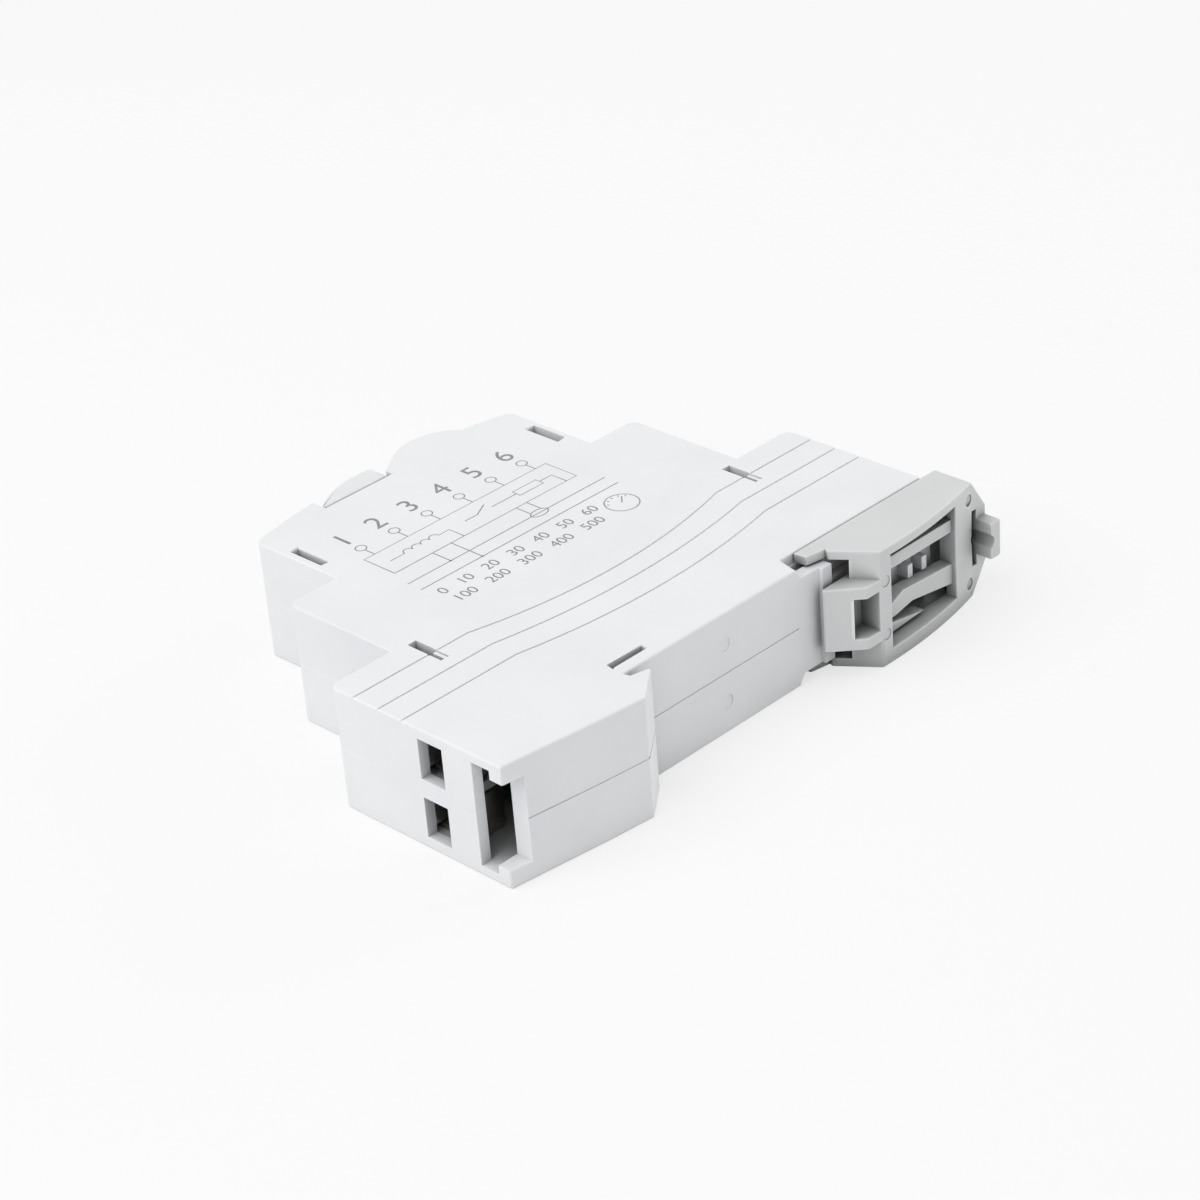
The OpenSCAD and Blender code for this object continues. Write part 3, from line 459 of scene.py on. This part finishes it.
softened("rail_clip", CLIP_EDGE)
softened("push_key", KEY_EDGE, material=frosted)
softened("light_pipe", KEY_EDGE, PIPE_FACET)
for number in range(1, TERMINAL_COUNT + 1):
    softened(f"terminal_screw_{number}", METAL_EDGE, SCREW_FACET)
    softened(f"terminal_cage_{number}", METAL_EDGE)
    softened(f"terminal_bar_{number}", METAL_EDGE)

# %% [markdown]
# ## The two half shells
# On the shells only the outline is rounded, and a little less the mouths of the openings in the near end
# face. The engraved lines, the snap slots and the parting line stay crisp. An edge belongs to the outline if
# a point a little way out from it, seen from above, lies off the side face.

# %% Half shells
WIDTH = cad_box[1].z - cad_box[0].z
MID_Z = cad_box[0].z + WIDTH / 2
OUTLINE_EDGE = 0.3 * MM
OUTLINE_STEPS = 3
MOUTH_EDGE = 0.12 * MM
LOOK_OUT = 3 * MM
LOOK_DOWN = 1.5 * LOOK_OUT
SEAM_BAND = 0.3 * MM
TALL = WIDTH / 8
WALL_TILT = 0.5
END_FACING = 0.99


def at_seam(edge):
    """True for an edge along the parting line."""
    return all(abs(v.co.z - MID_Z) < SEAM_BAND for v in edge.verts)


def on_outline(edge, tree, side):
    """True if the side face, up for the upper shell and down for the lower one, ends at this edge."""
    face_z = MID_Z + side * WIDTH / 2
    at_face = [abs(v.co.z - face_z) < SEAM_BAND for v in edge.verts]
    walls = [f.normal for f in edge.link_faces if abs(f.normal.z) < WALL_TILT]
    upright = any(at_face) and abs(edge.verts[0].co.z - edge.verts[1].co.z) > TALL
    if not walls or not (all(at_face) or upright):
        return False
    out = sum(walls, Vector()).normalized() * LOOK_OUT
    spot = (edge.verts[0].co + edge.verts[1].co) / 2 + out
    spot.z = face_z + side * LOOK_OUT
    hit = tree.ray_cast(spot, Vector((0, 0, -side)), LOOK_DOWN)[0]
    return hit is None


def at_mouth(edge, end_x):
    """True for an edge of an opening in the end face at end_x."""
    at_end = min(v.co.x for v in edge.verts) > end_x - MOUTH_EDGE
    return at_end and not at_seam(edge) and any(abs(f.normal.x) > END_FACING for f in edge.link_faces)


for node, side in (("housing_lower", -1), ("housing_upper", 1)):
    shell = welded(node)
    shape = BVHTree.FromBMesh(shell)
    outline = [e for e in sharp_edges(shell, 0) if not at_seam(e) and on_outline(e, shape, side)]
    rounded(shell, outline, OUTLINE_EDGE, OUTLINE_STEPS)
    near_end = max(v.co.x for v in shell.verts)
    mouths = [e for e in sharp_edges(shell, SHORTEST) if at_mouth(e, near_end)]
    rounded(shell, mouths, MOUTH_EDGE)
    print(node, "outline edges:", len(outline), "mouth edges:", len(mouths))
    stand_for(finished(node + "_soft", shell, abs_white), node)

# %% [markdown]
# ## Printing on the upper side face
# A wiring plan is pad printed on the side: a row of terminal numbers, the plan of the circuit, two rows of
# plain figures and a small dial. The plan is drawn in millimetres as it is read, with its origin at the
# lower left corner, and then laid on the face. The helpers below draw an arc, a rectangle and a row of
# figures.

# %% Helpers for the printing
INK_RISE = 0.012 * MM
PLAN_CORNER = Vector((20 * MM, 3 * MM, MID_Z + WIDTH / 2))
PLAN_TURN = Matrix.Rotation(math.pi, 4, "Z")


def arc(middle, radius, start=0, end=360, steps=24, squash=1):
    """Points in mm along an arc, a full ring unless its angles in degrees are given."""
    turns = [math.radians(start + (end - start) * i / steps) for i in range(steps + 1)]
    return [(middle[0] + radius * math.cos(a), middle[1] + squash * radius * math.sin(a)) for a in turns]


def box_path(u0, v0, u1, v1):
    """A closed rectangle."""
    return [(u0, v0), (u1, v0), (u1, v1), (u0, v1), (u0, v0)]


def on_face(mesh, target):
    """Adds a flat mesh, drawn in mm, to the printing."""
    mesh.transform(PLAN_TURN @ Matrix.Scale(MM, 4))
    mesh.transform(Matrix.Translation(PLAN_CORNER))
    target.from_mesh(mesh)
    bpy.data.meshes.remove(mesh)


def figures(target, text, place, size):
    """Adds plain figures to the printing."""
    curve = bpy.data.curves.new("figures", "FONT")
    curve.body = text
    curve.size = size
    curve.extrude = INK_RISE / MM / 2
    letters = bpy.data.objects.new("figures", curve)
    mesh = bpy.data.meshes.new_from_object(letters)
    mesh.transform(Matrix.Translation((*place, 0)))
    on_face(mesh, target)
    bpy.data.objects.remove(letters)
    bpy.data.curves.remove(curve)


print("plan starts at mm:", [round(v / MM, 1) for v in PLAN_CORNER])

# %% [markdown]
# ## Lines of the plan
# Six ring terminals stand on the frame of the circuit, with a coil, a switch and a resistor on one wire in
# it. Below run two supply lines, which two wires tap, and a sensor ring goes round one of them. A small dial
# fills the corner. Heights and places are named once, so that the lines meet.

# %% Lines of the plan
TERMINALS = [3 + 6.2 * i for i in range(TERMINAL_COUNT)]
LEFT, RIGHT = 1, 36
LOW, WIRE, HIGH = 13.2, 16.2, 19.4
RINGS, RING_RADIUS = 22.2, 0.8
COIL_START, COIL_RADIUS, COIL_TURNS, COIL_LEADS = 6.4, 0.8, 4, (3, 14)
SWITCH, LEVER, LEVER_TIP = 17, 19.4, (22, 17.6)
CONTACT, CONTACT_END = 22.2, 24.6
RESISTOR, RESISTOR_LEAD = (27, 15.4, 31.6, 17), 34
FEED, RETURN, LINE_END = 9.6, 7, 38
TAPS = ((8, FEED), (11.5, RETURN))
TAP_DOT = 0.12
SENSOR_RING, SENSOR_RADIUS, SENSOR_SQUASH = (25, FEED), 1.5, 0.6
SENSOR_WIRES, SENSOR_TOP = (24, 26), 10.3
DIAL, DIAL_RADIUS, POINTER = (34, 2.4), 2.5, (35.3, 3.7)
TICK, TICK_TURNS = (1.8, 2.2), (150, 120, 90, 60, 30)

paths = [box_path(LEFT, LOW, RIGHT, HIGH)]
for u in TERMINALS:
    paths.append(arc((u, RINGS), RING_RADIUS))
    paths.append([(u, RINGS - RING_RADIUS), (u, HIGH)])
coil = [point for i in range(COIL_TURNS)
        for point in arc((COIL_START + 2 * COIL_RADIUS * i, WIRE), COIL_RADIUS, 180, 0, 10)]
paths.append([(COIL_LEADS[0], WIRE), *coil, (COIL_LEADS[1], WIRE), (COIL_LEADS[1], LOW)])
paths.append([(SWITCH, WIRE), (LEVER, WIRE), LEVER_TIP])
paths.append([(CONTACT, WIRE), (CONTACT_END, WIRE)])
paths.append(box_path(*RESISTOR))
paths.append([(CONTACT_END, WIRE), (RESISTOR[0], WIRE)])
paths.append([(RESISTOR[2], WIRE), (RESISTOR_LEAD, WIRE), (RESISTOR_LEAD, LOW)])
for v in (FEED, RETURN):
    paths.append([(0, v), (LINE_END, v)])
for u, v in TAPS:
    paths.append([(u, LOW), (u, v)])
paths.append(arc(SENSOR_RING, SENSOR_RADIUS, steps=28, squash=SENSOR_SQUASH))
for u in SENSOR_WIRES:
    paths.append([(u, LOW), (u, SENSOR_TOP)])
paths.append(arc(DIAL, DIAL_RADIUS, steps=36))
paths.append([DIAL, POINTER])
for turn in TICK_TURNS:
    paths.append([arc(DIAL, radius, turn, turn, 1)[0] for radius in TICK])
for tap in TAPS:
    paths.append(arc(tap, TAP_DOT, steps=10))
print("lines of the plan:", len(paths))

# %% [markdown]
# ## Ink
# The lines become a curve with a round section, which is turned into a mesh and pressed flat, so that the
# ink stands a hundredth of a millimetre proud of the face. The figures are text, made a mesh in the same
# way. Pad printing leaves a thin, dull coat that is a little uneven, so the grey varies softly.

# %% Ink
STROKE = 0.19 * MM
INK_PATCH = 1.5 * MM
INK_GLOSS = 0.55
NUMBER_SIZE, NUMBER_SHIFT, NUMBER_LINE = 5, 1.3, 24.3
FIGURE_SIZE, FIGURE_LINES = 2.6, (3.6, 0.6)

strokes = bpy.data.curves.new("strokes", "CURVE")
strokes.dimensions = "3D"
strokes.bevel_depth = STROKE / MM / 2
strokes.bevel_resolution = 1
strokes.use_fill_caps = True
for path in paths:
    spline = strokes.splines.new("POLY")
    spline.points.add(len(path) - 1)
    for point, (u, v) in zip(spline.points, path):
        point.co = (u, v, 0, 1)
drawing = bpy.data.objects.new("strokes", strokes)
flat_mesh = bpy.data.meshes.new_from_object(drawing)
flat_mesh.transform(Matrix.Scale(2 * INK_RISE / STROKE, 4, (0, 0, 1)))
printing = bmesh.new()
on_face(flat_mesh, printing)
bpy.data.objects.remove(drawing)

for number, u in enumerate(TERMINALS, 1):
    figures(printing, str(number), (u - NUMBER_SHIFT, NUMBER_LINE), NUMBER_SIZE)
for row, v in zip(("0   10   20   30   40   50   60", "100   200   300   400   500"), FIGURE_LINES):
    figures(printing, row, (LEFT, v), FIGURE_SIZE)

ink, ink_tree, ink_place = start_material("ink_grey_pad_printed")
fade = add(ink_tree, "TexNoise", {"Scale": 1 / INK_PATCH, "Detail": 3}, {"Vector": ink_place})
ink_tone = add(ink_tree, "ValToRGB", {"stops": [(PATCH_LOW, "#7E8284"), (PATCH_HIGH, "#8C9092")]},
               {"Fac": fade.outputs["Fac"]})
end_material(ink_tree, {"Roughness": INK_GLOSS, "IOR": RESIN_IOR}, {"Base Color": ink_tone.outputs["Color"]})
side_print = finished("side_print", printing, ink)
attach(side_print, nodes["housing_upper"]["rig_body"])
print(side_print.name, "faces:", len(side_print.data.polygons))

# %% [markdown]
# ## Sky
# The sky is an even soft white. It is dimmer for the light that falls on the object than for the eye, so the
# background stays white and the housing keeps its shading. Mirror images and clear plastic show the bright
# one, as they would in a white room.

# %% Sky
SKY_LIGHT = 0.59
SKY_SEEN = 0.95


def seen_directly(tree):
    """1 for the eye, for mirror images and through clear plastic, and 0 for the light on a surface."""
    ray = add(tree, "LightPath").outputs
    either = add(tree, "Math", {"operation": "MAXIMUM"}, {0: ray["Is Camera Ray"], 1: ray["Is Glossy Ray"]})
    any_of = add(tree, "Math", {"operation": "MAXIMUM"},
                 {0: either.outputs["Value"], 1: ray["Is Transmission Ray"]})
    return any_of.outputs["Value"]


world = bpy.data.worlds.new("studio_sky")
world.use_nodes = True
world.node_tree.nodes.clear()
level = add(world.node_tree, "MapRange", {"To Min": SKY_LIGHT, "To Max": SKY_SEEN},
            {"Value": seen_directly(world.node_tree)})
sky = add(world.node_tree, "Background", {"Color": linear("#FFFFFF")}, {"Strength": level.outputs["Result"]})
add(world.node_tree, "OutputWorld", links={"Surface": sky.outputs["Background"]})
scene.world = world
print("sky:", SKY_LIGHT, "for the object,", SKY_SEEN, "for the eye")

# %% [markdown]
# ## Lamps
# One large lamp, high on the camera's left, lifts the upper face and the near end. A weaker one, low on the
# right, does what a white card would do there: it lifts the flank of the hook and the far end of the clip.

# %% Lamps
LAMP_AWAY = 0.95


def soft_lamp(name, side, size, power):
    """A square lamp that faces the object from one side, its size in metres and its power in watts."""
    lamp = bpy.data.objects.new(name, bpy.data.lights.new(name, "AREA"))
    lamp.data.size = size
    lamp.data.energy = power
    lamp.location = Vector(side).normalized() * LAMP_AWAY
    lamp.rotation_mode = "QUATERNION"
    lamp.rotation_quaternion = Vector(side).to_track_quat("Z", "Y")
    lamp.visible_camera = False
    scene.collection.objects.link(lamp)
    print(name, power, "W, at mm", [round(v / MM) for v in lamp.location])


soft_lamp("high_lamp", side=(0.26, -0.07, 0.38), size=1, power=5.8)
soft_lamp("card_lamp", side=(-0.5, 0.1, 0.13), size=0.5, power=2.5)

# %% [markdown]
# ## Floor
# The floor is a wide pale sheet of matt paint. To the eye a veil of white lies over it, so that it runs into
# the background and still shows the soft shadow of the object.

# %% Floor
FLOOR_HALF = 3.0
FLOOR_VEIL = 0.68

floor_bm = bmesh.new()
bmesh.ops.create_grid(floor_bm, x_segments=1, y_segments=1, size=FLOOR_HALF)
floor_mesh = bpy.data.meshes.new("floor")
floor_bm.to_mesh(floor_mesh)
floor_bm.free()
floor = bpy.data.objects.new("floor", floor_mesh)
scene.collection.objects.link(floor)

floor_paint, floor_tree, _ = start_material("floor_pale_paint")
paint = add(floor_tree, "BsdfDiffuse", {"Color": linear("#EFEFF0")})
veil = add(floor_tree, "MapRange", {"To Min": 0, "To Max": FLOOR_VEIL}, {"Value": seen_directly(floor_tree)})
glow = add(floor_tree, "Emission", {"Color": linear("#FEFEFE")})
both = add(floor_tree, "MixShader", links={0: veil.outputs["Result"], 1: paint.outputs["BSDF"],
                                           2: glow.outputs["Emission"]})
add(floor_tree, "OutputMaterial", links={"Surface": both.outputs["Shader"]})
floor_mesh.materials.append(floor_paint)
print("floor of", 2 * FLOOR_HALF, "m")
